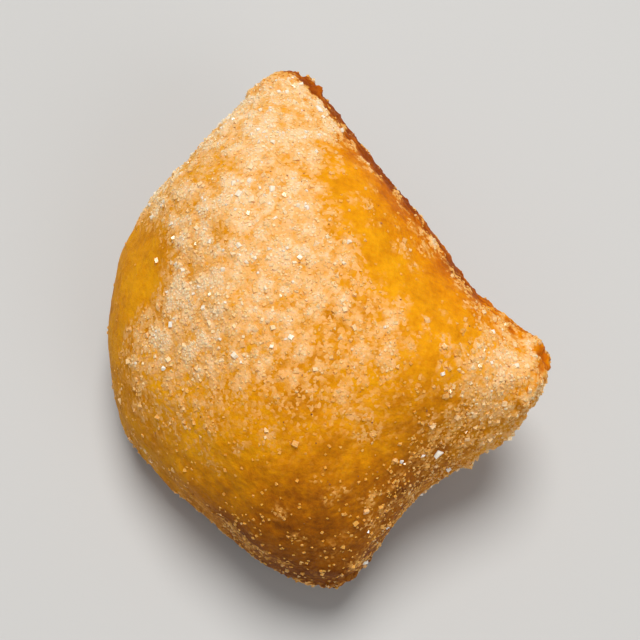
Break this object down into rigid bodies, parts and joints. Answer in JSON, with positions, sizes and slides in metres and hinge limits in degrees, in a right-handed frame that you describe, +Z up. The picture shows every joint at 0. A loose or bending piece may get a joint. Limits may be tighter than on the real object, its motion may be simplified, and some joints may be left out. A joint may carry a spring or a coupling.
{
  "type": "fried dough piece",
  "caption": "Puffed pillow of fried dough with straight cut sides, a swollen round corner and a dusting of cinnamon sugar, resting on its belly.",
  "frame": {"origin": "under the middle of the piece's box, level with the flat spot it rests on", "axes": "+Z up through the crown, +Y towards the sharpest corner, along the longest extent"},
  "size_m": [0.056, 0.0654, 0.0325],
  "materials": {
    "crust": "golden fried skin, slightly oily",
    "sugar": "clear and frosted sugar crystals with a little cinnamon"
  },
  "bodies": {
    "root": {"fried_dough": "crust"}
  },
  "joints": []
}
